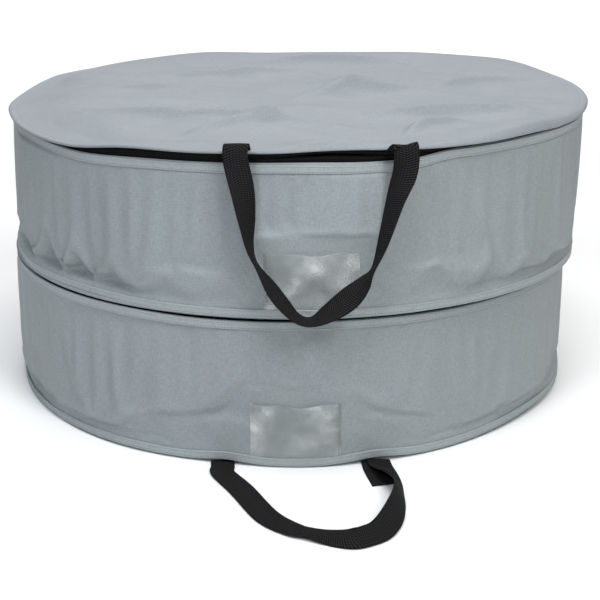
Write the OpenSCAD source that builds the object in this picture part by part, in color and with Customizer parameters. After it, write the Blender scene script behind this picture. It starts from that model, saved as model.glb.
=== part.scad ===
// Set of two round zipped wheel bags, stacked one on the other.
// Z is up, each bag's axis is Z, the front (label pocket side) faces -Y, and the
// origin is the middle of the lower bag's base, on the surface that it rests on.

/* [Bag] */
// Outside radius of the side wall
bag_r = 340; // [300:1:400]
// Height of one zipped bag
bag_h = 166; // [150:1:260]
// Room between the two bags, where two straps lie folded in
stack_gap = 5.5; // [5.3:0.1:10]
// Thickness of the coated cloth
cloth_t = 1.5; // [0.8:0.1:1.5]
// How far the lid's edge stands out past the side wall
lid_overhang = 6; // [5:0.5:10]

/* [Seam bindings] */
// Height of the bound seams at the bottom and top of the side wall
seam_h = 9; // [6:0.5:12]
// Thickness of the folded binding tape
seam_t = 1.5; // [0.8:0.1:1.5]
// Width of the binding folded round the lid's edge
lid_binding_w = 10; // [8:0.5:12]
// Thickness of the lid's bound edge
lid_binding_t = 3.4; // [3.2:0.1:4]

/* [Zip] */
// Angle from the front to each end of the zip
zip_half_angle = 125; // [110:1:135]
// Height of the band that the zip fills between wall and lid
zip_band_h = 8; // [8:0.5:16]
// Width of the slider along the zip
slider_w = 14; // [8:1:16]
// Length of the pull tab
pull_len = 28; // [15:1:35]
// Width of the pull tab
pull_w = 8; // [7:0.5:10]

/* [Straps] */
// Width of the webbing
strap_w = 25; // [20:1:30]
// Thickness of the webbing
strap_t = 1.5; // [1:0.1:1.5]
// Distance between the middles of a strap's two sewn ends
strap_span = 162; // [140:1:180]
// How far the upper bag's straps sit to the right of the middle
upper_strap_x = 21; // [0:1:30]
// How far the lower bag's straps sit to the right of the middle
lower_strap_x = 3; // [0:1:30]

/* [Label pocket] */
// Width of the clear pocket
pocket_w = 96; // [60:1:140]
// Height of the clear pocket's open edge above the base
pocket_top = 68; // [50:1:90]
// Thickness of the clear film
pocket_t = 0.6; // [0.4:0.1:0.8]
// How far the upper bag's pocket sits to the right of the middle
upper_pocket_x = 14; // [-20:1:30]
// How far the lower bag's pocket sits to the right of the middle
lower_pocket_x = -2; // [-20:1:30]

/* [Hidden] */

$fn = 96;

// The two bags, and the height of each one's base
LOWER = 0;
UPPER = 1;
bag_z = [0, bag_h + stack_gap];
strap_x = [lower_strap_x, upper_strap_x];
pocket_x = [lower_pocket_x, upper_pocket_x];

// Layers through the bag, inside to outside
fit_gap = 0.2;
wall_in_r = bag_r - cloth_t;
binding_in_r = bag_r + fit_gap;
binding_out_r = binding_in_r + seam_t;
lid_r = bag_r + lid_overhang;

// Heights within one bag
lid_under_z = bag_h - lid_binding_t;
wall_top_z = lid_under_z - zip_band_h;
fold_t = 0.8;
lid_cloth_z = lid_under_z + fold_t + fit_gap;
lid_cloth_t = lid_binding_t - 2 * (fold_t + fit_gap);

// The lid folds back along a straight line that joins the zip's two ends
fold_y = -bag_r * cos(zip_half_angle) - 3;
fold_gap = 0.6;

// Zip: two tapes, two rows of coil and a gap for the slider's neck between them
tape_t = 1.2;
tape_r = wall_in_r - 0.4 - tape_t;
tape_below = 8;
coil_h = 2.1;
coil_t = 2.6;
coil_r = tape_r + tape_t / 2 - coil_t / 2;
neck_gap = 1.2;
zip_mid_z = lid_under_z - 4;
wall_coil_z = zip_mid_z - neck_gap / 2 - coil_h;
lid_coil_z = zip_mid_z + neck_gap / 2;
coil_half_angle = zip_half_angle - 2.5;
stop_angle = zip_half_angle - 1.4;

// Slider: an outer plate over both rows, a neck, and an inner plate on the wall's row
slider_angle = zip_half_angle - 5.5;
clearance = 0.3;
plate_t = 1.4;
outer_plate_r = coil_r + coil_t + clearance;
inner_plate_r = coil_r - clearance - plate_t;
neck_t = neck_gap - 2 * clearance;
slider_lip = 0.9;
slider_low_z = wall_coil_z - slider_lip;
slider_high_z = lid_coil_z + coil_h + slider_lip;
pin_r = 0.6;
pin_clearance = 0.05;
lug_w = 4;
lug_r = 1.7;
pin_at_r = outer_plate_r + plate_t + 2.3;
pull_t = 1.2;
pull_arm = 1.6;

// Webbing: rings along each stretch between two route points
route_steps = 4;

// Sewn strap ends
sewn_len = 26;
sewn_t = 1.4;

// Routes give x from the middle of the strap, y, z from the bag's base, and the turn
// of the webbing about its own run in degrees.
// A strap that hangs down the front from the lid's edge, turned edge-on at its bottom
hanging_route = [
  [-81, -346, 178, -10], [-81, -350, 160, -5], [-75, -354, 131, 25], [-71, -356, 102, 50],
  [-67, -358, 74, 70], [-59, -360, 53, 82], [-45, -361, 31, 88], [-33, -362, 14, 88],
  [-20, -362, 1, 86], [-7, -362, 0, 82], [9, -361, 8, 62], [30, -359, 21, 38],
  [46, -357, 37, 58], [55, -356, 55, 75], [64, -353, 78, 84], [76, -349, 122, 50],
  [84, -344, 145, 28], [86, -340, 166, 0], [82, -337, 178, -17]
];
// A strap that lies on the floor in front of the bag
floor_route = [
  [-83, -344, 1.4, 0], [-81, -360, 1.6, 0], [-60, -401, 2.4, -5], [-33, -459, 2.4, -5],
  [-8, -485, 2.4, 2], [9, -494, 3.6, 10], [28, -503, 3, -6], [49, -511, 6, -21],
  [64, -505, 6, -21], [78, -493, 6.6, -25], [90, -469, 10, -42], [98, -437, 12.4, -62],
  [98, -409, 12.4, -60], [93, -379, 8.6, -34], [84, -344, 2.6, -6]
];
// A strap folded in flat, as an outline: x from the middle, y from the bag's edge
tucked_route = [
  [-81, 1.2], [-81, 45], [-80, 90], [-74, 125], [-58, 155], [-30, 169], [0, 172],
  [30, 169], [58, 155], [74, 125], [80, 90], [81, 45], [81, 1.2]
];
tucked_edge_y = -335;
tucked_gap = 0.4;

// --- helpers -------------------------------------------------------------------------

function unit(v) = v / norm(v);

// Catmull-Rom spline through a list of points, whatever their number of values
function between(p, i, t) =
  let (
    last = len(p) - 1,
    a = p[max(i - 1, 0)],
    b = p[i],
    c = p[min(i + 1, last)],
    d = p[min(i + 2, last)]
  )
  (2 * b + (c - a) * t + (2 * a - 5 * b + 4 * c - d) * t * t + (3 * b - a - 3 * c + d) * t * t * t) / 2;

function smooth(p, steps) = concat(
  [for (i = [0 : len(p) - 2], s = [0 : steps - 1]) between(p, i, s / steps)],
  [p[len(p) - 1]]
);

function place(p) = [p[0], p[1], p[2]];

// Direction of the run at ring i
function heading(rings, i) =
  unit(place(rings[min(i + 1, len(rings) - 1)]) - place(rings[max(i - 1, 0)]));

// The four corners of the webbing's section at ring i, where an unturned face looks along face
function section(rings, i, face) =
  let (
    run = heading(rings, i),
    inner = unit(cross(face, run)),
    front = cross(run, inner),
    turn = rings[i][3],
    normal = front * cos(turn) + inner * sin(turn),
    side = cross(run, normal),
    w = side * strap_w / 2,
    t = normal * strap_t / 2,
    c = place(rings[i])
  )
  [c - w - t, c + w - t, c + w + t, c - w + t];

// A length of webbing along a route, as one closed solid
module webbing(route, face) {
  rings = smooth(route, route_steps);
  count = len(rings);
  sides = [
    for (i = [0 : count - 2], k = [0 : 3])
      let (a = 4 * i + k, b = 4 * i + (k + 1) % 4)
      each [[a, a + 4, b], [b, a + 4, b + 4]]
  ];
  last = 4 * (count - 1);
  ends = [[0, 1, 2], [0, 2, 3], [last, last + 2, last + 1], [last, last + 3, last + 2]];
  polyhedron(
    points = [for (i = [0 : count - 1]) each section(rings, i, face)],
    faces = concat(sides, ends)
  );
}

// A flat strip of webbing that follows an outline in a level plane
module flat_webbing(outline) {
  line = smooth(outline, route_steps);
  count = len(line);
  edge = function (i, side)
    let (run = unit(line[min(i + 1, count - 1)] - line[max(i - 1, 0)]))
    line[i] + side * strap_w / 2 * [-run[1], run[0]];
  linear_extrude(height = strap_t)
    polygon(concat(
      [for (i = [0 : count - 1]) edge(i, 1)],
      [for (i = [count - 1 : -1 : 0]) edge(i, -1)]
    ));
}

module ring(inner, outer, low, high) {
  rotate_extrude()
    translate([inner, low])
      square([outer - inner, high - low]);
}

// Part of a ring, half_angle to each side of the front or of the back
module arc(inner, outer, low, high, half_angle, back = false) {
  middle = back ? 90 : -90;
  rotate([0, 0, middle - half_angle])
    rotate_extrude(angle = 2 * half_angle)
      translate([inner, low])
        square([outer - inner, high - low]);
}

// Turns things drawn at the front, at -Y, to an angle towards +X
module at_angle(angle) {
  rotate([0, 0, angle]) children();
}

// A box drawn at the front: radii from the axis, heights, and its width along the wall
module front_box(inner, outer, low, high, width) {
  translate([-width / 2, -outer, low])
    cube([width, outer - inner, high - low]);
}

// Everything in front of, or behind, the lid's fold line
module fold_side(front) {
  reach = 2 * lid_r;
  shift = front ? fold_y - fold_gap / 2 - reach : fold_y + fold_gap / 2;
  translate([-reach, shift, 0])
    cube([2 * reach, reach, bag_h + 1]);
}

// --- bag body --------------------------------------------------------------------------

module base_panel(bag) {
  color("slategray")
    translate([0, 0, bag_z[bag]])
      cylinder(r = wall_in_r - fit_gap, h = cloth_t);
}

// The wall rises to the lid behind the zip's ends, where the two are sewn together
module side_wall(bag) {
  color("lightslategray")
    translate([0, 0, bag_z[bag]])
      difference() {
        ring(wall_in_r, bag_r, 0, lid_under_z - fit_gap);
        arc(wall_in_r - 5, bag_r + 5, wall_top_z, bag_h, zip_half_angle + 2);
      }
}

module base_binding(bag) {
  color("slategray")
    translate([0, 0, bag_z[bag]])
      ring(binding_in_r, binding_out_r, 0, seam_h);
}

module rim_binding(bag) {
  color("slategray")
    translate([0, 0, bag_z[bag]])
      ring(binding_in_r, binding_out_r, wall_top_z - seam_h, wall_top_z);
}

// Covers the join of the wall's two ends, at the back, inside
module wall_seam_tape(bag) {
  color("dimgray")
    translate([0, 0, bag_z[bag]])
      arc(wall_in_r - fit_gap - 1, wall_in_r - fit_gap, cloth_t + 1, wall_top_z - tape_below - 2, 1.8, true);
}

// --- zip ---------------------------------------------------------------------------------

module wall_zip_tape(bag) {
  color("black")
    translate([0, 0, bag_z[bag]])
      arc(tape_r, tape_r + tape_t, wall_top_z - tape_below, wall_coil_z - fit_gap, zip_half_angle);
}

module wall_zip_coil(bag) {
  color("dimgray")
    translate([0, 0, bag_z[bag]])
      arc(coil_r, coil_r + coil_t, wall_coil_z, wall_coil_z + coil_h, coil_half_angle);
}

module lid_zip_tape(bag) {
  color("black")
    translate([0, 0, bag_z[bag]])
      arc(tape_r, tape_r + tape_t, lid_coil_z + coil_h + fit_gap, lid_under_z - fit_gap, coil_half_angle);
}

module lid_zip_coil(bag) {
  color("dimgray")
    translate([0, 0, bag_z[bag]])
      arc(coil_r, coil_r + coil_t, lid_coil_z, lid_coil_z + coil_h, coil_half_angle);
}

module zip_stops(bag) {
  color("dimgray")
    translate([0, 0, bag_z[bag]])
      for (side = [-1, 1])
        at_angle(side * stop_angle)
          front_box(coil_r - 0.4, coil_r + coil_t + 0.2, wall_coil_z, wall_coil_z + coil_h, 4);
}

module zip_slider(bag) {
  mid_z = (slider_low_z + slider_high_z) / 2;
  color("black")
    translate([0, 0, bag_z[bag]])
      at_angle(slider_angle) {
        front_box(outer_plate_r, outer_plate_r + plate_t, slider_low_z, slider_high_z, slider_w);
        front_box(inner_plate_r + 1, outer_plate_r + 0.5, zip_mid_z - neck_t / 2,
                  zip_mid_z + neck_t / 2, slider_w / 2);
        front_box(inner_plate_r, inner_plate_r + plate_t, slider_low_z, zip_mid_z + neck_t / 2, slider_w);
        slider_lug(mid_z);
      }
}

// The eye on the slider that the pull tab's pin turns in
module slider_lug(mid_z) {
  difference() {
    union() {
      front_box(outer_plate_r + 0.5, pin_at_r, mid_z - lug_r, mid_z + lug_r, lug_w);
      pin_rod(mid_z, lug_r, lug_w);
    }
    pin_rod(mid_z, pin_r + pin_clearance, lug_w + 2);
  }
}

module pin_rod(mid_z, radius, length) {
  translate([-length / 2, -pin_at_r, mid_z])
    rotate([0, 90, 0])
      cylinder(r = radius, h = length);
}

module zip_pull(bag) {
  mid_z = (slider_low_z + slider_high_z) / 2;
  arm_drop = lug_r + 1.2;
  color("dimgray")
    translate([0, 0, bag_z[bag]])
      at_angle(slider_angle) {
        pin_rod(mid_z, pin_r, pull_w - 1);
        for (side = [-1, 1])
          translate([side * (pull_w - pull_arm) / 2, 0, 0])
            front_box(pin_at_r - pull_t / 2, pin_at_r + pull_t / 2, mid_z - arm_drop - 1, mid_z + 1, pull_arm);
        front_box(pin_at_r - pull_t / 2, pin_at_r + pull_t / 2, mid_z - pull_len, mid_z - arm_drop, pull_w);
      }
}

// --- lid ---------------------------------------------------------------------------------

module lid_disc() {
  translate([0, 0, lid_cloth_z])
    cylinder(r = lid_r - fold_t - fit_gap, h = lid_cloth_t);
}

// Binding folded round the lid's edge, as a channel open towards the middle
module lid_channel() {
  rotate_extrude()
    translate([lid_r - lid_binding_w, lid_under_z])
      difference() {
        square([lid_binding_w, lid_binding_t]);
        translate([-1, fold_t])
          square([lid_binding_w - fold_t + 1, lid_binding_t - 2 * fold_t]);
      }
}

module lid_flap(bag) {
  color("lightsteelblue")
    translate([0, 0, bag_z[bag]])
      intersection() {
        lid_disc();
        fold_side(true);
      }
}

module lid_rear_panel(bag) {
  color("lightsteelblue")
    translate([0, 0, bag_z[bag]])
      intersection() {
        lid_disc();
        fold_side(false);
      }
}

module lid_binding(bag) {
  color("slategray")
    translate([0, 0, bag_z[bag]])
      intersection() {
        lid_channel();
        fold_side(true);
      }
}

module lid_rear_binding(bag) {
  color("slategray")
    translate([0, 0, bag_z[bag]])
      intersection() {
        lid_channel();
        fold_side(false);
      }
}

// --- label pocket --------------------------------------------------------------------------

module label_pocket(bag) {
  half_angle = pocket_w / 2 / bag_r * 180 / PI;
  color("white", 0.4)
    translate([0, 0, bag_z[bag]])
      at_angle(pocket_x[bag] / bag_r * 180 / PI)
        arc(bag_r + fit_gap, bag_r + fit_gap + pocket_t, seam_h + fit_gap, pocket_top, half_angle);
}

// --- straps --------------------------------------------------------------------------------

// The strap's ends, sewn flat under the lid's cloth
module top_strap_ends(bag) {
  color("black")
    translate([0, 0, bag_z[bag]])
      for (side = [-1, 1])
        at_angle(asin((strap_x[bag] + side * strap_span / 2) / lid_r))
          front_box(tape_r - 1 - sewn_len, tape_r - 1, lid_cloth_z - fit_gap - sewn_t,
                    lid_cloth_z - fit_gap, strap_w);
}

// The strap's ends, sewn flat inside the bottom of the wall
module bottom_strap_ends(bag) {
  outer = wall_in_r * cos(asin(strap_w / 2 / wall_in_r)) - fit_gap;
  color("black")
    translate([0, 0, bag_z[bag]])
      for (side = [-1, 1])
        at_angle(asin((strap_x[bag] + side * strap_span / 2) / bag_r))
          front_box(outer - sewn_t, outer, cloth_t + fit_gap, cloth_t + fit_gap + sewn_len, strap_w);
}

// The upper bag's top strap hangs in front, and the lower bag's lies folded in on its lid
module top_strap(bag) {
  color("black")
    translate([strap_x[bag], 0, bag_z[bag]])
      if (bag == UPPER)
        webbing(hanging_route, [0, -1, 0]);
      else
        translate([0, tucked_edge_y, bag_h + tucked_gap])
          flat_webbing(tucked_route);
}

// The lower bag's bottom strap lies on the floor, and the upper bag's is folded in under it
module bottom_strap(bag) {
  color("black")
    translate([strap_x[bag], 0, bag_z[bag]])
      if (bag == LOWER)
        webbing(floor_route, [0, 0, 1]);
      else
        translate([0, tucked_edge_y, -tucked_gap - strap_t])
          flat_webbing(tucked_route);
}

base_panel(LOWER);  // lower_base_panel
side_wall(LOWER);  // lower_side_wall
base_binding(LOWER);  // lower_base_binding
rim_binding(LOWER);  // lower_rim_binding
wall_seam_tape(LOWER);  // lower_wall_seam_tape
wall_zip_tape(LOWER);  // lower_wall_zip_tape
wall_zip_coil(LOWER);  // lower_wall_zip_coil
zip_stops(LOWER);  // lower_zip_stops
lid_rear_panel(LOWER);  // lower_lid_rear_panel
lid_rear_binding(LOWER);  // lower_lid_rear_binding
lid_flap(LOWER);  // lower_lid_flap
lid_binding(LOWER);  // lower_lid_binding
lid_zip_tape(LOWER);  // lower_lid_zip_tape
lid_zip_coil(LOWER);  // lower_lid_zip_coil
zip_slider(LOWER);  // lower_zip_slider
zip_pull(LOWER);  // lower_zip_pull
label_pocket(LOWER);  // lower_label_pocket
top_strap(LOWER);  // lower_top_strap
top_strap_ends(LOWER);  // lower_top_strap_ends
bottom_strap(LOWER);  // lower_bottom_strap
bottom_strap_ends(LOWER);  // lower_bottom_strap_ends
base_panel(UPPER);  // upper_base_panel
side_wall(UPPER);  // upper_side_wall
base_binding(UPPER);  // upper_base_binding
rim_binding(UPPER);  // upper_rim_binding
wall_seam_tape(UPPER);  // upper_wall_seam_tape
wall_zip_tape(UPPER);  // upper_wall_zip_tape
wall_zip_coil(UPPER);  // upper_wall_zip_coil
zip_stops(UPPER);  // upper_zip_stops
lid_rear_panel(UPPER);  // upper_lid_rear_panel
lid_rear_binding(UPPER);  // upper_lid_rear_binding
lid_flap(UPPER);  // upper_lid_flap
lid_binding(UPPER);  // upper_lid_binding
lid_zip_tape(UPPER);  // upper_lid_zip_tape
lid_zip_coil(UPPER);  // upper_lid_zip_coil
zip_slider(UPPER);  // upper_zip_slider
zip_pull(UPPER);  // upper_zip_pull
label_pocket(UPPER);  // upper_label_pocket
top_strap(UPPER);  // upper_top_strap
top_strap_ends(UPPER);  // upper_top_strap_ends
bottom_strap(UPPER);  // upper_bottom_strap
bottom_strap_ends(UPPER);  // upper_bottom_strap_ends
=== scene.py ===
"""Two round zipped wheel bags, stacked: cloth, bindings, zips, straps and label pockets."""
import math

import bpy
import numpy as np
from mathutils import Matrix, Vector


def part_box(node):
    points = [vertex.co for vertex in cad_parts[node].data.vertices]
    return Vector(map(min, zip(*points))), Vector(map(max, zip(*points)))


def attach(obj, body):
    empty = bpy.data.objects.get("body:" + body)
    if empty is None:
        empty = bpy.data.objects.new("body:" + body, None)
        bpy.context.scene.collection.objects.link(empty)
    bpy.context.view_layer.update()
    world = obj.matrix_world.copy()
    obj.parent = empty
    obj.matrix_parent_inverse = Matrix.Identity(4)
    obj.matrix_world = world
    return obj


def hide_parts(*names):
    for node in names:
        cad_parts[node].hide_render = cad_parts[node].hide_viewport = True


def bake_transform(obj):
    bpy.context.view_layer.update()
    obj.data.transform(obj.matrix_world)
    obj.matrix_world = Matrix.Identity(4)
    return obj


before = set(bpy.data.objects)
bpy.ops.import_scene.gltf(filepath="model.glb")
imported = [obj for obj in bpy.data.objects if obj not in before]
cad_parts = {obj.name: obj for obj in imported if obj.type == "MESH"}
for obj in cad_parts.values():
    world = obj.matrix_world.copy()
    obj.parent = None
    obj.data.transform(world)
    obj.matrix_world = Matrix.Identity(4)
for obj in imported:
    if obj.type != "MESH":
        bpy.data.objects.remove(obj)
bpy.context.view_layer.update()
bpy.ops.object.select_all(action="DESELECT")

MM = 0.001
BAGS = ("lower", "upper")

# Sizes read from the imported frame, in metres
WALL_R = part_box("lower_side_wall")[1].x
LID_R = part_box("lower_lid_binding")[1].x
SEAM_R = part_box("lower_base_binding")[1].x
SEAM_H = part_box("lower_base_binding")[1].z
RIM_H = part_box("lower_rim_binding")[1].z
LID_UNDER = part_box("lower_lid_binding")[0].z
BAG_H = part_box("lower_lid_binding")[1].z
LID_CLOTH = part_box("lower_lid_flap")[1].z
TAPE_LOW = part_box("lower_wall_zip_tape")[0].z
COIL_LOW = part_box("lower_wall_zip_coil")[0].z
COIL_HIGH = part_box("lower_lid_zip_coil")[1].z
COIL_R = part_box("lower_lid_zip_coil")[1].x
BASE_Z = {bag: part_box(f"{bag}_base_panel")[0].z for bag in BAGS}
FILM_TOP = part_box("lower_label_pocket")[1].z
ZIP_END = math.radians(122.5)
SLIDER_END = 119.5
BINDING_W = 10 * MM
STRAP_W = 25 * MM
STRAP_X = {"lower": 3 * MM, "upper": 21 * MM}
POCKET_X = {"lower": -2 * MM, "upper": 14 * MM}
POCKET_W = 96 * MM
AROUND = 420


# --- how each filled bag settles -------------------------------------------------------

# Waves round a bag's three seams: turns round the bag, height in mm, phase
LIFT = {
    "upper": {
        "base": ((0, -4.8, 1.571), (3, 0.7, 0.4), (5, 0.5, 2.0), (9, 0.35, 1.1)),
        "rim": ((4, 0.8, 1.2), (7, 0.5, 0.3), (13, 0.3, 2.2)),
        "lid": ((2, 0.6, 0.2), (5, 0.9, 2.6), (9, 0.8, 0.9), (14, 0.45, 2.4)),
    },
    "lower": {
        "base": ((0, 1.6, 1.571), (4, 0.9, 2.7), (7, 0.7, 0.5)),
        "rim": ((0, 7.0, 1.571), (4, 0.4, 1.2), (9, 0.3, 0.3)),
        "lid": ((0, 1.6, 1.571), (5, 0.4, 2.6)),
    },
}
SPREAD = {
    "upper": {
        "base": ((0, 3.6, 1.571), (3, 1.0, 0.9), (6, 0.9, 2.1), (11, 0.5, 0.2)),
        "rim": ((3, 0.9, 2.0), (8, 0.5, 0.7)),
        "lid": ((3, 1.0, 1.0), (7, 1.0, 2.9), (12, 0.5, 0.4)),
    },
    "lower": {
        "base": ((3, 1.6, 2.2), (7, 1.3, 0.4), (11, 0.5, 1.4)),
        "rim": ((3, 0.9, 2.6), (6, 0.8, 1.7)),
        "lid": ((0, -4.5, 1.571), (3, 0.4, 2.0)),
    },
}


def waves(turn, terms):
    """Sum of sine waves round the bag; turn is the angle from the front."""
    total = np.zeros_like(turn)
    for count, height, phase in terms:
        total += height * MM * np.sin(count * turn + phase)
    return total


def bump(turn, middle, width):
    """A smooth hump round the bag, middle and width in degrees."""
    away = (turn - math.radians(middle) + math.pi) % (2 * math.pi) - math.pi
    return np.exp(-((away / math.radians(width)) ** 2))


def smooth_step(low, high, value):
    t = np.clip((value - low) / (high - low), 0, 1)
    return t * t * (3 - 2 * t)


def calm_zip(turn):
    """Zero where the slider stands at either end of its travel, one elsewhere."""
    near = np.maximum(bump(turn, SLIDER_END, 9), bump(turn, -SLIDER_END, 9))
    return 1 - np.clip(1.4 * near, 0, 1)


def edge_lift(bag, turn):
    """Height moved by the base seam, the wall's rim and the lid's edge."""
    base = waves(turn, LIFT[bag]["base"])
    rim = waves(turn, LIFT[bag]["rim"])
    lid = waves(turn, LIFT[bag]["lid"])
    if bag == "upper":
        front = bump(turn, 2, 34)
        side = smooth_step(0.5, 1.0, np.abs(turn)) - smooth_step(1.9, 2.5, np.abs(turn))
        lid = lid + 7.5 * MM * bump(turn, 138, 34) + 6.5 * MM * bump(turn, 108, 24)
        lid = lid + 4.5 * MM * bump(turn, -148, 28) + 3.6 * MM * bump(turn, -114, 26)
        lid = lid + 3.6 * MM * front - 4.6 * MM * side + 1.4 * MM * bump(turn, 12, 7)
        lid = lid - 1.8 * MM * bump(turn, -3, 6) + 2.6 * MM * np.sin(turn)
        lid = lid - 4.5 * MM * bump(turn, -43, 11)
        lid = lid + 8.5 * MM * bump(turn, 50, 22) + 7.0 * MM * bump(turn, 5, 8)
        shut = smooth_step(0.33, 0.5, turn) * (1 - smooth_step(0.6, 1.0, turn))
        rim = rim - 5.5 * MM * bump(turn, -41, 15) + 7.0 * MM * shut - 1.5 * MM * bump(turn, 10, 9)
        rim = rim - 0.8 * MM * front + 1.6 * MM * side + 2.6 * MM * np.sin(turn) * side
        rim = rim + 2.5 * MM * bump(turn, 52, 20)
        base = base - 2.6 * MM * bump(turn, 88, 22)
    else:
        base = base + 3.2 * MM * bump(turn, -13, 5) + 3.6 * MM * bump(turn, 14, 6)
        base = base + 3.6 * MM * bump(turn, 52, 26)
        base = np.maximum(base - 1.6 * MM * bump(turn, 0, 9), 0)
    lid = lid + (1 - calm_zip(turn)) * np.maximum(0.8 * MM - lid, 0)
    return base, rim, lid


def lid_droop(bag, turn):
    """How far the lid's bound edge hangs down, where the gap over the wall's rim has room."""
    if bag == "lower":
        return np.zeros_like(turn)
    base, rim, lid = edge_lift(bag, turn)
    wanted = 8.5 * MM * np.clip(bump(turn, 50, 24) + 0.8 * bump(turn, 5, 8), 0, 1)
    return np.clip(wanted, 0, np.maximum(LID_UNDER + lid - RIM_H - rim - 0.8 * MM, 0))


def edge_spread(bag, turn):
    """Radius moved by the base seam, the wall's rim and the lid's edge."""
    base = waves(turn, SPREAD[bag]["base"])
    rim = waves(turn, SPREAD[bag]["rim"])
    lid = waves(turn, SPREAD[bag]["lid"])
    if bag == "upper":
        base = base - 7.5 * MM * bump(turn, 90, 26)
        lid = lid + 2.0 * MM * bump(turn, 88, 20) + 5.0 * MM * bump(turn, 128, 32)
    else:
        shift = -6.0 * MM * np.sin(turn)
        dent = -7.5 * MM * bump(turn, 88, 34)
        base = base + shift - 5.0 * MM * bump(turn, 70, 38)
        rim = rim + shift + dent
        lid = lid + shift + dent
    return base, rim, lid


def puckers(bag, turn, height):
    """Gathered facets in the wall just above the base seam, and faint ones under the rim."""
    phase = {"upper": 0.4, "lower": 2.0}[bag]
    share = {"upper": 1.0, "lower": 0.3}[bag]
    strong = 0.15 + 1.0 * bump(turn, -46, 22) + 0.6 * bump(turn, 46, 24) + 0.4 * bump(turn, 180, 80)
    beat = 34 * turn / (2 * math.pi) + 0.33 * np.sin(3 * turn + phase) + 0.16 * np.sin(8 * turn + phase)
    between = 1 - np.abs(2 * (beat % 1) - 1)
    tall = (5 + 15 * between * (0.7 + 0.3 * np.sin(5 * turn + phase))) * MM
    s = np.clip((height - SEAM_H) / tall, 0, 8)
    depth = 0.75 * tall * share * strong
    facets = -depth * s * np.exp((1 - s * s) / 2) + 0.45 * depth * np.exp(-(((s - 2.5) / 0.9) ** 2))
    below = np.clip((RIM_H - SEAM_H - height) / (9 * MM), 0, 20)
    fine = np.sin(46 * turn + 2.0 * np.sin(5 * turn)) ** 2
    return facets - 1.2 * MM * below * np.exp(1 - below) * fine * bump(turn, 0, 45)


def soft_noise(x, y, size, seed):
    """Smooth waves in several directions, about size across, between -1 and 1."""
    total = np.zeros_like(x)
    for i in range(6):
        angle = seed * 1.7 + i * 2.399
        stretch = 0.8 + 0.13 * ((i * 5 + seed) % 6)
        along = (x * math.cos(angle) + y * math.sin(angle)) * 2 * math.pi / (size * stretch)
        across = (y * math.cos(angle) - x * math.sin(angle)) * math.pi / (size * stretch)
        total += np.sin(along + seed * 3.1 + 1.3 * i + 0.9 * np.sin(across + i))
    return total / 6


def wall_belly(bag, turn, height):
    """Broad bulges and hollows of the wall between its seams."""
    share = np.clip(height / RIM_H, 0, 1)
    hold = np.sin(math.pi * share) ** 0.8
    round_x = turn * WALL_R
    seed = {"upper": 2, "lower": 5}[bag]
    wide = 8.0 * MM * soft_noise(round_x, height * 1.4, 0.22, seed)
    small = 3.2 * MM * soft_noise(round_x, height * 1.2, 0.085, seed + 3)
    belly = 2.5 * MM + 3.5 * MM * (bump(turn, 88, 30) + bump(turn, -88, 30)) * smooth_step(0.3, 0.7, share)
    if bag == "upper":
        belly = 1.4 * belly
    else:
        belly = 0.3 * belly
        belly += 2.0 * MM * bump(turn, 90, 30) * smooth_step(0.6, 0.25, share)
        belly += 2.5 * MM * bump(turn, -90, 40)
    still = 1 - (1 - calm_zip(turn)) * smooth_step(70 * MM, 110 * MM, height)
    meets = 1 - bump(turn, 180, 15)
    moved = hold * still * (meets * (wide + small) + belly)
    sewn = np.zeros_like(turn)
    for side in (-1, 1):
        middle = math.degrees(math.asin((STRAP_X[bag] + side * 81 * MM) / WALL_R))
        sewn = np.maximum(sewn, bump(turn, middle, 7))
    sewn = sewn * smooth_step(60 * MM, 35 * MM, height)
    return np.where(moved < 0, moved * (1 - np.clip(1.6 * sewn, 0, 1)), moved)


def settle(bag, points):
    """Moves points from the bag's true round shape to the shape that it settles into."""
    x, y = points[:, 0], points[:, 1]
    height = points[:, 2] - BASE_Z[bag]
    radius = np.hypot(x, y)
    turn = np.arctan2(x, -y)
    knots = np.array([0, SEAM_H, RIM_H - SEAM_H, RIM_H, COIL_HIGH, LID_UNDER, BAG_H])
    share = (COIL_HIGH - RIM_H) / (LID_UNDER - RIM_H)
    calm = calm_zip(turn)
    lift = np.zeros_like(radius)
    spread = np.zeros_like(radius)
    for moved, (base, rim, lid) in (
        (lift, edge_lift(bag, turn)),
        (spread, edge_spread(bag, turn)),
    ):
        coil = (rim * (1 - share) + lid * share) * calm
        rim = rim * calm
        levels = (base, base, rim, rim, coil, lid, lid)
        for i in range(6):
            t = np.clip((height - knots[i]) / (knots[i + 1] - knots[i]), 0, 1)
            inside = (height >= knots[i]) & (height <= knots[i + 1])
            moved[inside] = (levels[i] * (1 - t) + levels[i + 1] * t)[inside]
        moved[height > BAG_H] = lid[height > BAG_H]
        moved[height < 0] = base[height < 0]
    edge = smooth_step(0.80, 0.97, radius / WALL_R)
    on_wall = smooth_step(0.93, 0.985, radius / WALL_R)
    between = (height > SEAM_H) & (height < RIM_H - SEAM_H)
    spread = spread + np.where(between, wall_belly(bag, turn, height) + puckers(bag, turn, height), 0) * on_wall
    middle = np.where(height > RIM_H, lid_folds(bag, x, y), 0)
    fold_share = 1 - smooth_step(0.90, 0.985, radius / WALL_R)
    out = points.copy()
    droop = lid_droop(bag, turn) * np.clip((radius / LID_R - 0.970) / 0.030, 0, 1)
    droop = np.where(height > COIL_HIGH, droop, 0)
    out[:, 2] += lift * edge + middle * fold_share - droop
    grown = 1 + (spread * edge - 0.45 * droop) / np.maximum(radius, 1 * MM)
    out[:, 0] *= grown
    out[:, 1] *= grown
    return out


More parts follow.
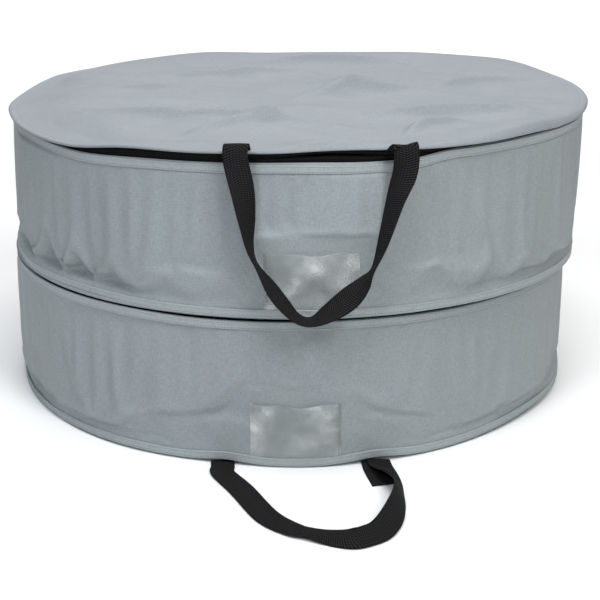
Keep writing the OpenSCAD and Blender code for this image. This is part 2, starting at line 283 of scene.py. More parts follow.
# Soft creases over the upper lid: start x, y, end x, y, height, width, all in mm
CREASES = (
    (-250, -120, 60, -215, 3.2, 17), (-60, 60, 230, -30, 2.6, 20), (-210, 120, 40, 150, 2.4, 18),
    (60, -150, 290, -110, 2.8, 15), (-20, -60, 170, 110, 2.2, 22), (150, 40, 300, 90, 2.4, 18),
    (-290, 10, -90, 40, 2.4, 20), (-120, -250, 10, -160, 2.2, 13), (110, -260, 190, -170, 2.4, 13),
    (-60, 240, 160, 225, 3.0, 22), (-180, -200, -60, -120, -0.8, 22), (20, 10, 130, -110, -0.8, 24),
)


def lid_folds(bag, x, y):
    """The lid's crown and its long soft creases."""
    radius = np.hypot(x, y) / WALL_R
    share = {"upper": 1.0, "lower": 0.25}[bag]
    seed = {"upper": 4, "lower": 7}[bag]
    total = 1.6 * MM * (1 - radius**2) + 5.5 * MM * soft_noise(x, y * 1.3, 0.21, seed)
    total = total + 2.2 * MM * soft_noise(x, y * 1.6, 0.08, seed + 2)
    for x0, y0, x1, y1, high, wide in CREASES:
        ax, ay = x0 * MM, y0 * MM
        dx, dy = x1 * MM - ax, y1 * MM - ay
        long = math.hypot(dx, dy)
        along = ((x - ax) * dx + (y - ay) * dy) / long
        across = ((y - ay) * dx - (x - ax) * dy) / long
        across = across - 12 * MM * np.sin(math.pi * along / long)
        ends = smooth_step(-0.05, 0.35, along / long) * smooth_step(1.05, 0.65, along / long)
        broad = 3.2 * np.exp(-np.abs(across / (0.75 * wide * MM)) ** 1.5)
        crest = 0.6 * np.exp(-((across / (7 * MM)) ** 2))
        total = total + high * MM * ends * (broad + crest)
    return share * total


# --- mesh helpers ------------------------------------------------------------------------


def coordinates(piece):
    co = np.empty(len(piece.data.vertices) * 3)
    piece.data.vertices.foreach_get("co", co)
    return co.reshape(-1, 3)


def move_to(piece, co):
    piece.data.vertices.foreach_set("co", np.ascontiguousarray(co, dtype=np.float64).ravel())
    piece.data.update()


def bent_grid(name, columns, rows, place, measure, wrap=False):
    """A grid added flat and bent by place(u, v), with its weave laid out in metres by measure."""
    bpy.ops.object.select_all(action="DESELECT")
    bpy.ops.mesh.primitive_grid_add(x_subdivisions=columns, y_subdivisions=rows, size=1)
    piece = bpy.context.object
    piece.name = name
    flat = coordinates(piece)
    u = flat[:, 0] + 0.5
    v = flat[:, 1] + 0.5
    layer = piece.data.uv_layers.active.data
    corner = np.empty(len(piece.data.loops), dtype=np.int32)
    piece.data.loops.foreach_get("vertex_index", corner)
    cloth = np.column_stack((u * measure[0], v * measure[1]))[corner]
    layer.foreach_set("uv", cloth.ravel())
    piece.data.uv_layers.active.name = "weave"
    move_to(piece, place(u, v))
    if wrap:
        edit(piece, lambda: bpy.ops.mesh.remove_doubles(threshold=1e-6))
    return piece


def edit(piece, *steps):
    """Runs edit-mode steps on the whole of one piece."""
    bpy.ops.object.select_all(action="DESELECT")
    bpy.context.view_layer.objects.active = piece
    piece.select_set(True)
    bpy.ops.object.mode_set(mode="EDIT")
    bpy.ops.mesh.select_all(action="SELECT")
    for step in steps:
        step()
    bpy.ops.object.mode_set(mode="OBJECT")


def apply(piece, kind, **settings):
    """Adds a modifier and applies it."""
    bpy.ops.object.select_all(action="DESELECT")
    bpy.context.view_layer.objects.active = piece
    piece.select_set(True)
    modifier = piece.modifiers.new(kind.title(), kind)
    for key, value in settings.items():
        setattr(modifier, key, value)
    bpy.ops.object.modifier_apply(modifier=modifier.name)


def smooth(piece):
    for polygon in piece.data.polygons:
        polygon.use_smooth = True


def thicken(piece, thickness, offset=-1):
    apply(piece, "SOLIDIFY", thickness=thickness, offset=offset, use_even_offset=False)
    smooth(piece)


def outward(piece):
    edit(piece, lambda: bpy.ops.mesh.normals_make_consistent(inside=False))


def on_ring(turn, radius, z):
    return np.column_stack((radius * np.sin(turn), -radius * np.cos(turn), z))


def ring_band(name, bag, profile, span=math.pi, columns=AROUND):
    """A closed section carried round the bag, span to each side of the front."""
    radii = np.array([p[0] for p in profile] + [profile[0][0]])
    heights = np.array([p[1] for p in profile] + [profile[0][1]]) + BASE_Z[bag]
    steps = np.linspace(0, 1, len(radii))

    def place(u, v):
        turn = (2 * u - 1) * span
        flat = on_ring(turn, np.interp(v, steps, radii), np.interp(v, steps, heights))
        return settle(bag, flat)

    run = 2 * span * radii.mean()
    girth = float(np.hypot(np.diff(radii), np.diff(heights)).sum())
    piece = bent_grid(name, columns, len(profile), place, (run, girth), wrap=True)
    if span < math.pi:
        edit(piece, lambda: bpy.ops.mesh.fill_holes(sides=0))
    outward(piece)
    smooth(piece)
    return piece


def copies(name, master, origins, axes):
    """One mesh of many copies of a small master, each set at an origin on three axes."""
    shape = coordinates(master)
    faces = [list(polygon.vertices) for polygon in master.data.polygons]
    bpy.data.objects.remove(master)
    points = origins[:, None, :] + np.einsum("vi,nij->nvj", shape, axes)
    count, each = len(origins), len(shape)
    corners = np.concatenate([np.array(face) for face in faces])
    sizes = np.array([len(face) for face in faces])
    all_corners = (corners[None, :] + (np.arange(count) * each)[:, None]).ravel()
    all_sizes = np.tile(sizes, count)
    starts = np.concatenate(([0], np.cumsum(all_sizes)[:-1]))
    mesh = bpy.data.meshes.new(name)
    mesh.vertices.add(count * each)
    mesh.loops.add(len(all_corners))
    mesh.polygons.add(len(all_sizes))
    mesh.vertices.foreach_set("co", points.reshape(-1, 3).ravel())
    mesh.loops.foreach_set("vertex_index", all_corners.astype(np.int32))
    mesh.polygons.foreach_set("loop_start", starts.astype(np.int32))
    mesh.update(calc_edges=True)
    mesh.validate()
    piece = bpy.data.objects.new(name, mesh)
    bpy.context.collection.objects.link(piece)
    smooth(piece)
    return piece


def stitch_master(length, thick):
    """One stitch: a short thread, flattened and drawn in at its ends."""
    bpy.ops.object.select_all(action="DESELECT")
    along_x = (0, math.pi / 2, 0)
    bpy.ops.mesh.primitive_cylinder_add(vertices=6, radius=thick / 2, depth=length, rotation=along_x)
    bpy.ops.object.transform_apply(location=False, rotation=True, scale=False)
    master = bpy.context.object
    co = coordinates(master)
    ends = np.abs(co[:, 0]) > length * 0.4
    co[ends, 2] -= thick * 0.35
    co[:, 2] *= 0.7
    move_to(master, co)
    return master


def stitch_line(name, path, length=2.7 * MM, gap=0.9 * MM, thick=0.55 * MM):
    """Stitches along a path of points and outward directions."""
    points, outs = path
    steps = np.linalg.norm(np.diff(points, axis=0), axis=1)
    run = np.concatenate(([0], np.cumsum(steps)))
    at = np.arange(length / 2, run[-1] - length / 2, length + gap)
    where = np.column_stack([np.interp(at, run, points[:, k]) for k in range(3)])
    ahead = np.column_stack([np.interp(at + 0.5 * MM, run, points[:, k]) for k in range(3)])
    out = np.column_stack([np.interp(at, run, outs[:, k]) for k in range(3)])
    along = ahead - where
    along /= np.linalg.norm(along, axis=1)[:, None]
    side = np.cross(out, along)
    side /= np.linalg.norm(side, axis=1)[:, None]
    up = np.cross(along, side)
    axes = np.stack((along, side, up), axis=1)
    return copies(name, stitch_master(length, thick), where, axes)


def seam_path(bag, radius, height, out, span=math.pi):
    """A line round the bag at one ideal radius and height, facing out (radial, up)."""
    turn = np.linspace(-span, span, 900)
    z = np.full_like(turn, height + BASE_Z[bag])
    points = settle(bag, on_ring(turn, np.full_like(turn, radius), z))
    outs = on_ring(turn, np.full_like(turn, out[0]), np.full_like(turn, out[1]))
    return points, outs


def join(name, parts):
    bpy.ops.object.select_all(action="DESELECT")
    for part in parts:
        part.select_set(True)
    bpy.context.view_layer.objects.active = parts[0]
    bpy.ops.object.join()
    parts[0].name = name
    return parts[0]


# --- materials -----------------------------------------------------------------------------


def socket_group(name, inputs, outputs):
    group = bpy.data.node_groups.new(name, "ShaderNodeTree")
    for label, kind, value in inputs:
        item = group.interface.new_socket(label, in_out="INPUT", socket_type=kind)
        if value is not None:
            item.default_value = value
    for label, kind in outputs:
        group.interface.new_socket(label, in_out="OUTPUT", socket_type=kind)
    return group, group.nodes.new("NodeGroupInput"), group.nodes.new("NodeGroupOutput")


class Nodes:
    """Short names for adding and linking shader nodes in one tree."""

    def __init__(self, tree):
        self.tree = tree

    def add(self, kind, **settings):
        node = self.tree.nodes.new(kind)
        for key, value in settings.items():
            setattr(node, key, value)
        return node

    def link(self, source, target):
        self.tree.links.new(source, target)

    def math(self, operation, a, b=None, clamp=False):
        node = self.add("ShaderNodeMath", operation=operation, use_clamp=clamp)
        for index, value in enumerate((a, b)):
            if value is None:
                continue
            if isinstance(value, (int, float)):
                node.inputs[index].default_value = value
            else:
                self.link(value, node.inputs[index])
        return node.outputs[0]

    def noise(self, vector, scale, detail=3.0, rough=0.5):
        node = self.add("ShaderNodeTexNoise")
        self.link(vector, node.inputs["Vector"])
        node.inputs["Scale"].default_value = scale
        node.inputs["Detail"].default_value = detail
        node.inputs["Roughness"].default_value = rough
        return node.outputs["Fac"]


def make_weave_group():
    """Plain weave: warp and weft threads that pass over each other, in metres."""
    group, into, out = socket_group(
        "plain_weave",
        (("Cloth", "NodeSocketVector", None), ("Pitch", "NodeSocketFloat", 0.001)),
        (("Height", "NodeSocketFloat"), ("Slub", "NodeSocketFloat")),
    )
    n = Nodes(group)
    split = n.add("ShaderNodeSeparateXYZ")
    n.link(into.outputs["Cloth"], split.inputs[0])
    rate = n.math("DIVIDE", math.pi, into.outputs["Pitch"])
    warp = n.math("SINE", n.math("MULTIPLY", split.outputs[0], rate))
    weft = n.math("SINE", n.math("MULTIPLY", split.outputs[1], rate))
    over = n.math("MULTIPLY", warp, weft)
    ridge = n.math("ADD", n.math("ABSOLUTE", warp), n.math("ABSOLUTE", weft))
    n.link(n.math("ADD", over, n.math("MULTIPLY", ridge, 0.5)), out.inputs["Height"])
    streaks = []
    for scale in ((150, 900, 1), (900, 150, 1)):
        stretch = n.add("ShaderNodeMapping")
        n.link(into.outputs["Cloth"], stretch.inputs[0])
        stretch.inputs["Scale"].default_value = scale
        streaks.append(n.noise(stretch.outputs[0], 1.0, 1.0))
    n.link(n.math("MULTIPLY", n.math("ADD", *streaks), 0.5), out.inputs["Slub"])
    return group


WEAVE = make_weave_group()


def base_material(name, rough, **sockets):
    material = bpy.data.materials.new(name)
    material.use_nodes = True
    shader = material.node_tree.nodes["Principled BSDF"]
    shader.inputs["Roughness"].default_value = rough
    for label, value in sockets.items():
        shader.inputs[label.replace("_", " ")].default_value = value
    return material, Nodes(material.node_tree), shader


def cloth_material(name, colour, pitch=0.8 * MM, mottle=0.22, depth=0.35, gloss=0.5):
    """Coated polyester cloth: plain weave, uneven threads, faint patches and a dull sheen."""
    material, n, shader = base_material(name, 0.7, Specular_IOR_Level=gloss)
    weave = n.add("ShaderNodeUVMap", uv_map="weave")
    place = n.add("ShaderNodeTexCoord")
    group = n.add("ShaderNodeGroup", node_tree=WEAVE)
    n.link(weave.outputs[0], group.inputs["Cloth"])
    group.inputs["Pitch"].default_value = pitch
    patches = n.noise(place.outputs["Object"], 9.0, 4.0, 0.6)
    grain = n.noise(place.outputs["Object"], 760.0, 1.0, 0.5)
    threads = n.math("ADD", n.math("MULTIPLY", group.outputs["Slub"], 1.3), n.math("MULTIPLY", grain, 0.9))
    tone = n.math("ADD", threads, n.math("MULTIPLY", patches, 0.55))
    tone = n.math("SUBTRACT", tone, 0.88, clamp=True)
    mix = n.add("ShaderNodeMixRGB")
    mix.inputs[1].default_value = (*[c * (1 - mottle) for c in colour], 1)
    mix.inputs[2].default_value = (*[min(c * (1 + mottle), 1) for c in colour], 1)
    n.link(tone, mix.inputs[0])
    n.link(mix.outputs[0], shader.inputs["Base Color"])
    rough = n.math("ADD", n.math("MULTIPLY", grain, 0.2), 0.5)
    n.link(rough, shader.inputs["Roughness"])
    height = n.math("ADD", group.outputs["Height"], n.math("MULTIPLY", grain, 1.6))
    relief = n.add("ShaderNodeBump")
    relief.inputs["Strength"].default_value = depth
    relief.inputs["Distance"].default_value = 0.2 * MM
    n.link(height, relief.inputs["Height"])
    n.link(relief.outputs[0], shader.inputs["Normal"])
    return material


def webbing_material():
    """Black webbing: cross ribs that lean one way and then the other across the strap, with painted highlights
    along the rib crests.
    """
    material, n, shader = base_material("black_webbing", 0.85, Specular_IOR_Level=0.12)
    weave = n.add("ShaderNodeUVMap", uv_map="weave")
    split = n.add("ShaderNodeSeparateXYZ")
    n.link(weave.outputs[0], split.inputs[0])
    across, along = split.outputs[0], split.outputs[1]
    zigzag = n.math("PINGPONG", across, 12.5 * MM)
    lean = n.math("ADD", along, n.math("MULTIPLY", zigzag, 0.35))
    ribs = n.math("SINE", n.math("MULTIPLY", lean, 2 * math.pi / (2.3 * MM)))
    ends = n.math("SINE", n.math("MULTIPLY", across, 2 * math.pi / (3.1 * MM)))
    thread = n.math("ADD", n.math("MULTIPLY", ribs, 0.8), n.math("MULTIPLY", ends, 0.35))
    grain = n.noise(weave.outputs[0], 900.0, 2.0, 0.6)
    # Painted highlight: the rib pattern that also drives the relief lightens the colour on the rib crests; the
    # grain adds random tone.
    tone = n.math("ADD", n.math("MULTIPLY", thread, 0.45), n.math("MULTIPLY", grain, 0.5), clamp=True)
    mix = n.add("ShaderNodeMixRGB")
    mix.inputs[1].default_value = (0.0018, 0.0018, 0.002, 1)
    mix.inputs[2].default_value = (0.040, 0.038, 0.040, 1)
    n.link(tone, mix.inputs[0])
    n.link(mix.outputs[0], shader.inputs["Base Color"])
    relief = n.add("ShaderNodeBump")
    relief.inputs["Strength"].default_value = 0.7
    relief.inputs["Distance"].default_value = 0.3 * MM
    n.link(n.math("ADD", thread, grain), relief.inputs["Height"])
    n.link(relief.outputs[0], shader.inputs["Normal"])
    return material


def film_material():
    """Clear soft film with a glossy face, milky in places, with painted reflections in the same light patches.
    """
    material, n, shader = base_material("clear_film", 0.16, IOR=1.5, Coat_Weight=0.5, Coat_Roughness=0.1)
    place = n.add("ShaderNodeTexCoord")
    patch_noise = n.noise(place.outputs["Object"], 26.0, 2.0, 0.5)
    fine = n.noise(place.outputs["Object"], 130.0, 2.0, 0.5)
    # Milky film and painted reflection: the light patches lighten the colour and raise the alpha, standing in
    # partly for milky film and partly for reflections of the surroundings.
    milky_and_painted_reflection = n.math("MULTIPLY", n.math("SUBTRACT", patch_noise, 0.42), 4.0, clamp=True)
    mix = n.add("ShaderNodeMixRGB")
    mix.inputs[1].default_value = (0.36, 0.39, 0.37, 1)
    mix.inputs[2].default_value = (0.78, 0.82, 0.81, 1)
    n.link(milky_and_painted_reflection, mix.inputs[0])
    n.link(mix.outputs[0], shader.inputs["Base Color"])
    cover = n.math("ADD", n.math("MULTIPLY", n.math("POWER", milky_and_painted_reflection, 2.0), 0.34), 0.17)
    n.link(cover, shader.inputs["Alpha"])
    relief = n.add("ShaderNodeBump")
    relief.inputs["Strength"].default_value = 0.5
    relief.inputs["Distance"].default_value = 1.2 * MM
    n.link(n.math("ADD", patch_noise, n.math("MULTIPLY", fine, 0.4)), relief.inputs["Height"])
    n.link(relief.outputs[0], shader.inputs["Normal"])
    return material


def plain_material(name, dark, light, scale, rough, metallic=0.0, depth=0.2):
    """A small hard piece or thread: a tone that varies a little, and fine relief."""
    material, n, shader = base_material(name, rough, Metallic=metallic, Specular_IOR_Level=0.25)
    place = n.add("ShaderNodeTexCoord")
    grain = n.noise(place.outputs["Object"], scale, 3.0, 0.6)
    mix = n.add("ShaderNodeMixRGB")
    mix.inputs[1].default_value = (*dark, 1)
    mix.inputs[2].default_value = (*light, 1)
    n.link(grain, mix.inputs[0])
    n.link(mix.outputs[0], shader.inputs["Base Color"])
    relief = n.add("ShaderNodeBump")
    relief.inputs["Strength"].default_value = depth
    relief.inputs["Distance"].default_value = 0.1 * MM
    n.link(grain, relief.inputs["Height"])
    n.link(relief.outputs[0], shader.inputs["Normal"])
    return material


LOOK = {
    "lid_cloth": cloth_material("lid_cloth", (0.249, 0.276, 0.298)),
    "wall_cloth": cloth_material("wall_cloth", (0.275, 0.309, 0.318)),
    "base_cloth": cloth_material("base_cloth", (0.33, 0.375, 0.385)),
    "binding_tape": cloth_material("binding_tape", (0.322, 0.362, 0.370), 0.6 * MM, 0.2),
    "zip_tape": cloth_material("zip_tape", (0.003, 0.003, 0.0035), 0.7 * MM, 0.5, gloss=0.1),
    "webbing": webbing_material(),
    "clear_film": film_material(),
    "zip_coil": plain_material("zip_coil", (0.003, 0.003, 0.0035), (0.009, 0.009, 0.010), 900, 0.45),
    "zip_metal": plain_material("zip_metal", (0.016, 0.016, 0.017), (0.04, 0.04, 0.042), 500, 0.32, 0.4),
    "thread": plain_material("thread", (0.11, 0.125, 0.13), (0.18, 0.20, 0.21), 1500, 0.7),
}


def dress(piece, look):
    piece.data.materials.clear()
    piece.data.materials.append(LOOK[look])
    return piece


# --- cloth simulation ---------------------------------------------------------------------------


def relax(piece, held, slack, weight=1.0, frames=16):
    """Lets a sewn panel that is cut slightly full hang under its own weight, then keeps the result.

    held(u, v) is 1 where the panel is sewn down and small where it is free."""
    corner = np.empty(len(piece.data.loops), dtype=np.int32)
    piece.data.loops.foreach_get("vertex_index", corner)
    flat = np.empty(2 * len(corner))
    piece.data.uv_layers["weave"].data.foreach_get("uv", flat)
    cut = np.zeros((len(piece.data.vertices), 2))
    cut[corner] = flat.reshape(-1, 2)
    weights = np.round(held(cut[:, 0], cut[:, 1]), 2)
    group = piece.vertex_groups.new(name="sewn")
    for share in np.unique(weights):
        group.add([int(i) for i in np.flatnonzero(weights == share)], float(share), "REPLACE")
    bpy.ops.object.select_all(action="DESELECT")
    bpy.context.view_layer.objects.active = piece
    piece.select_set(True)
    cloth = piece.modifiers.new("Cloth", "CLOTH")
    cloth.settings.quality = 5
    cloth.settings.mass = 0.15
    cloth.settings.tension_stiffness = 20
    cloth.settings.compression_stiffness = 12
    cloth.settings.shear_stiffness = 8
    cloth.settings.bending_stiffness = 0.6
    cloth.settings.vertex_group_mass = "sewn"
    cloth.settings.pin_stiffness = 1.0
    cloth.settings.shrink_min = -slack
    cloth.settings.effector_weights.gravity = weight
    cloth.collision_settings.use_collision = False
    cloth.point_cache.frame_start = 1
    cloth.point_cache.frame_end = frames
    scene = bpy.context.scene
    for step in range(1, frames + 1):
        scene.frame_set(step)
    bpy.ops.object.modifier_apply(modifier=cloth.name)
    scene.frame_set(1)
    piece.vertex_groups.clear()


# --- cloth panels ----------------------------------------------------------------------------

WALL_ROWS = 52
LID_CELLS = 160
CLOTH_T = 0.9 * MM


def round_disc(u, v, radius):
    """A square grid drawn out to a disc, with its cells near even."""
    a, b = 2 * u - 1, 2 * v - 1
    return radius * a * np.sqrt(1 - b * b / 2), radius * b * np.sqrt(1 - a * a / 2)


def make_wall(bag):
    base = BASE_Z[bag]
    top = RIM_H + 1.0 * MM

    def place(u, v):
        turn = (2 * u - 1) * math.pi
        high = np.where(np.abs(turn) > math.radians(127), LID_UNDER, top)
        low = 0.6 * MM
        return settle(bag, on_ring(turn, np.full_like(u, WALL_R), base + low + v * (high - low)))

    length = 2 * math.pi * WALL_R
    piece = bent_grid(f"{bag}_wall_cloth", AROUND, WALL_ROWS, place, (length, RIM_H), wrap=True)

    def held(along, up):
        turn = along / WALL_R - math.pi
        seams = 1 - smooth_step(11 * MM, 18 * MM, np.minimum(up, RIM_H - up))
        away = np.abs(turn * WALL_R - POCKET_X[bag])
        pocket = smooth_step(75 * MM, 55 * MM, away) * smooth_step(90 * MM, 72 * MM, up)
        ends = smooth_step(50 * MM, 35 * MM, up) * bump(turn, 0, 26)
        zip_end = (1 - calm_zip(turn)) * smooth_step(90 * MM, 110 * MM, up)
        return np.clip(np.maximum.reduce((seams, pocket, ends, zip_end)), 0.03, 1)

    relax(piece, held, 0.008)
    thicken(piece, CLOTH_T)
    dress(piece, "wall_cloth")
    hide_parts(f"{bag}_side_wall")
    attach(piece, f"{bag}_bag")


def make_base(bag):
    radius = WALL_R - 1.0 * MM

    def place(u, v):
        x, y = round_disc(1 - u, v, radius)
        flat = np.column_stack((x, y, np.full_like(u, BASE_Z[bag] + 0.5 * MM)))
        return settle(bag, flat)

    piece = bent_grid(f"{bag}_base_cloth", 72, 72, place, (2 * radius, 2 * radius))
    thicken(piece, CLOTH_T)
    dress(piece, "base_cloth")
    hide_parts(f"{bag}_base_panel")
    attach(piece, f"{bag}_bag")


def bend_at_fold(piece):
    """Bakes the piece's placement into its mesh; the cloth is not bent at a fold line."""
    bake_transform(piece)


def make_lid(bag):
    radius = LID_R - 1.2 * MM

    def place(u, v):
        x, y = round_disc(u, v, radius)
        flat = np.column_stack((x, y, np.full_like(u, BASE_Z[bag] + LID_CLOTH)))
        return settle(bag, flat)

    piece = bent_grid(f"{bag}_lid_cloth", LID_CELLS, LID_CELLS, place, (2 * radius, 2 * radius))

    def held(across, along):
        x, y = round_disc(across / (2 * radius), along / (2 * radius), radius)
        rim = smooth_step(radius - 48 * MM, radius - 16 * MM, np.hypot(x, y))
        return np.clip(rim, 0.3, 1)

    relax(piece, held, 0.005, weight=0.15)
    thicken(piece, CLOTH_T)
    dress(piece, "lid_cloth")
    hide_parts(f"{bag}_lid_flap", f"{bag}_lid_rear_panel")
    bend_at_fold(piece)


def make_bindings(bag):
    """Folded tape round the base seam, the wall's rim and the lid's edge."""
    face = WALL_R + 0.2 * MM
    out = SEAM_R
    for name, low, node in (
        ("base_binding", 0.0, "base_binding"),
        ("rim_binding", RIM_H - SEAM_H, "rim_binding"),
    ):
        high = low + SEAM_H
        soft = 0.7 * MM
        section = (
            (face, low + soft), (face + 0.3 * MM, low), (out - 0.2 * MM, low + 0.2 * MM),
            (out, low + 1.2 * MM), (out - 0.35 * MM, low + 2.6 * MM), (out + 0.1 * MM, (low + high) / 2),
            (out - 0.35 * MM, high - 2.6 * MM), (out, high - 1.2 * MM), (out - 0.2 * MM, high - 0.2 * MM),
            (face + 0.3 * MM, high), (face, high - soft),
        )
        piece = ring_band(f"{bag}_{name}_tape", bag, section)
        dress(piece, "binding_tape")
        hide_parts(f"{bag}_{node}")
        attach(piece, f"{bag}_bag")
    inner = LID_R - BINDING_W
    low, high = LID_UNDER, BAG_H
    section = (
        (inner, high - 1.6 * MM), (inner + 0.4 * MM, high - 1.0 * MM), (inner + 2.5 * MM, high - 0.75 * MM),
        (LID_R - 4.5 * MM, high - 0.3 * MM), (LID_R - 1.6 * MM, high - 0.3 * MM),
        (LID_R - 0.4 * MM, high - 1.0 * MM), (LID_R, (low + high) / 2),
        (LID_R - 0.3 * MM, low + 0.8 * MM), (LID_R - 1.4 * MM, low + 0.1 * MM),
        (LID_R - 5 * MM, low), (inner + 0.4 * MM, low + 0.1 * MM), (inner, low + 0.5 * MM),
        (inner + 0.3 * MM, low + 1.0 * MM), (LID_R - 2.2 * MM, low + 1.0 * MM),
        (LID_R - 2.2 * MM, high - 1.0 * MM), (inner + 0.3 * MM, high - 1.4 * MM),
    )
    piece = ring_band(f"{bag}_lid_edge_tape", bag, section)
    dress(piece, "lid_cloth")
    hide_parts(f"{bag}_lid_binding", f"{bag}_lid_rear_binding")
    bend_at_fold(piece)


def make_stitches(bag):
    """Rows of stitches along the bound seams."""
    face = SEAM_R + 0.05 * MM
    rows = []
    for low in (0.0, RIM_H - SEAM_H):
        for up in (SEAM_H - 1.9 * MM, 2.0 * MM):
            rows.append(stitch_line("row", seam_path(bag, face - 0.25 * MM, low + up, (1, 0))))
    piece = join(f"{bag}_wall_stitches", rows)
    dress(piece, "thread")
    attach(piece, f"{bag}_bag")
    under = seam_path(bag, LID_R - 2.6 * MM, LID_UNDER, (0, -1))
    piece = stitch_line(f"{bag}_lid_stitches", under)
    dress(piece, "thread")
    bend_at_fold(piece)


# --- zip ---------------------------------------------------------------------------------------

TOOTH_PITCH = 2.0 * MM


def tape_section(inner, outer, low, high):
    """The outline of a flat tape that stands on edge, as (radius, height) pairs."""
    middle = (low + high) / 2
    return (
        (inner, low + 0.3 * MM), (inner + 0.3 * MM, low), (outer - 0.3 * MM, low), (outer, low + 0.3 * MM),
        (outer, middle), (outer, high - 0.3 * MM), (outer - 0.3 * MM, high), (inner + 0.3 * MM, high),
        (inner, high - 0.3 * MM), (inner, middle),
    )


def tooth_master(high):
    """One turn of the coil: a rounded bar."""
    bpy.ops.object.select_all(action="DESELECT")
    bpy.ops.mesh.primitive_cube_add(size=1)
    master = bpy.context.object
    master.scale = (0.95 * MM, 2.0 * MM, high)
    bpy.ops.object.transform_apply(location=False, rotation=False, scale=True)
    apply(master, "BEVEL", width=0.3 * MM, segments=1, limit_method="NONE")
    return master


def make_teeth(bag, name, low, high, shift):
    span = ZIP_END
    turn = np.arange(-span, span, TOOTH_PITCH / COIL_R) + shift * TOOTH_PITCH / COIL_R
    turn = turn[turn < span]
    middle = np.full_like(turn, BASE_Z[bag] + (low + high) / 2)
    radius = np.full_like(turn, COIL_R - 1.3 * MM)
    origins = settle(bag, on_ring(turn, radius, middle))
    along = np.column_stack((np.cos(turn), np.sin(turn), np.zeros_like(turn)))
    out = np.column_stack((np.sin(turn), -np.cos(turn), np.zeros_like(turn)))
    up = np.column_stack((np.zeros_like(turn), np.zeros_like(turn), np.ones_like(turn)))
    axes = np.stack((along, out, up), axis=1)
    piece = copies(f"{bag}_{name}_teeth", tooth_master(high - low), origins, axes)
    return dress(piece, "zip_coil")


def make_zip(bag):
    """The two tapes and the two rows of teeth, one of each on the wall and one on the lid."""
    tape_in = COIL_R - 1.9 * MM
    tape_out = COIL_R - 0.7 * MM
    middle = (COIL_LOW + COIL_HIGH) / 2
    hook = 0.7 * MM
    section = tape_section(tape_in, tape_out, TAPE_LOW, middle - 1.0 * MM)
    wall_tape = ring_band(f"{bag}_zip_lower_tape", bag, section, math.radians(125), 300)
    dress(wall_tape, "zip_tape")
    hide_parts(f"{bag}_wall_zip_tape")
    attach(wall_tape, f"{bag}_bag")
    wall_teeth = make_teeth(bag, "wall_zip", COIL_LOW, middle + hook, 0)
    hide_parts(f"{bag}_wall_zip_coil")
    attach(wall_teeth, f"{bag}_bag")
    section = tape_section(tape_in, tape_out, middle + 1.0 * MM, LID_UNDER + 0.4 * MM)
    lid_tape = ring_band(f"{bag}_zip_upper_tape", bag, section, ZIP_END, 300)
    dress(lid_tape, "zip_tape")
    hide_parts(f"{bag}_lid_zip_tape")
    bend_at_fold(lid_tape)
    lid_teeth = make_teeth(bag, "lid_zip", middle - hook, COIL_HIGH, 0.5)
    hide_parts(f"{bag}_lid_zip_coil")
    bend_at_fold(lid_teeth)


# --- label pocket --------------------------------------------------------------------------------


def make_pocket(bag):
    """A film pocket sewn on three sides, with its open top edge standing off a little."""
    half = POCKET_W / 2 / WALL_R
    middle = POCKET_X[bag] / WALL_R
    low = SEAM_H - 1.2 * MM
    seed = {"upper": 3, "lower": 8}[bag]

    def place(u, v):
        turn = middle + (2 * u - 1) * half
        side = np.clip(np.minimum(u, 1 - u) / 0.10, 0, 1)
        sewn = side * np.clip(v / 0.12, 0, 1)
        x, z = u * POCKET_W, v * FILM_TOP
        ripple = 0.9 * MM * soft_noise(x, z, 0.034, seed) + 0.5 * MM * soft_noise(x, z, 0.015, seed + 1)
        swell = 2.4 * MM * np.sin(math.pi * u) * v
        top = 1.6 * MM * np.sin(9 * u + seed) * smooth_step(0.8, 1.0, v) * side
        dip = -1.6 * MM * np.sin(math.pi * u) ** 2 * v - 0.8 * MM * np.sin(14 * u) * v
        height = BASE_Z[bag] + low + v * (FILM_TOP - low) + dip
        flat = on_ring(turn, np.full_like(u, WALL_R), height)
        out = 0.9 * MM + sewn * (1.2 * MM + ripple + swell + top)
        moved = settle(bag, flat)
        moved += on_ring(turn, out, np.zeros_like(u))
        return moved

    piece = bent_grid(f"{bag}_label_film", 90, 60, place, (POCKET_W, FILM_TOP))
    thicken(piece, 0.35 * MM)
    dress(piece, "clear_film")
    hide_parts(f"{bag}_label_pocket")
    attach(piece, f"{bag}_bag")
    rows = []
    for side in (-1, 1):
        turn = np.full(60, middle + side * (half - 2.5 * MM / WALL_R))
        height = np.linspace(SEAM_H, FILM_TOP - 1 * MM, 60) + BASE_Z[bag]
        points = settle(bag, on_ring(turn, np.full(60, WALL_R), height))
        points += on_ring(turn, np.full(60, 1.1 * MM), np.zeros(60))
        rows.append(stitch_line("row", (points, on_ring(turn, np.ones(60), np.zeros(60)))))
    stitches = join(f"{bag}_pocket_stitches", rows)
    dress(stitches, "thread")
    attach(stitches, f"{bag}_bag")


# --- straps ----------------------------------------------------------------------------------------

# Routes of the straps in mm: x from the strap's middle, y, height over the bag's base, and
# the strap's turn in degrees. The tucked route is flat: x, and the way in from the seam.
HANGING = (
    (-79, -330, 166.5, -6), (-79.5, -335, 168, -6), (-80, -340, 172.5, -6), (-80.6, -344, 175.8, -6),
    (-81.2, -348, 174.5, -6), (-82, -350, 169, -6), (-81, -351, 158, -3), (-75, -354, 131, 25),
    (-71, -356, 102, 52), (-68, -358, 74, 78), (-61, -360, 55, 90), (-46, -361, 31, 70), (-33, -362, 14, 72),
    (-20, -362, 1, 84), (-7, -362, -2, 86), (9, -361, 6, 62), (30, -359, 21, 38), (46, -357, 37, 68),
    (54, -356, 50, 90), (64, -353, 78, 73), (76, -350, 122, 50), (84, -348, 145, 24), (86, -348, 160, 4),
    (85.8, -348, 169, 3), (84.8, -345.5, 174.5, 3), (82.5, -341, 172.5, 3), (80, -335, 168.5, 3),
    (78, -328, 166.5, 3),
)
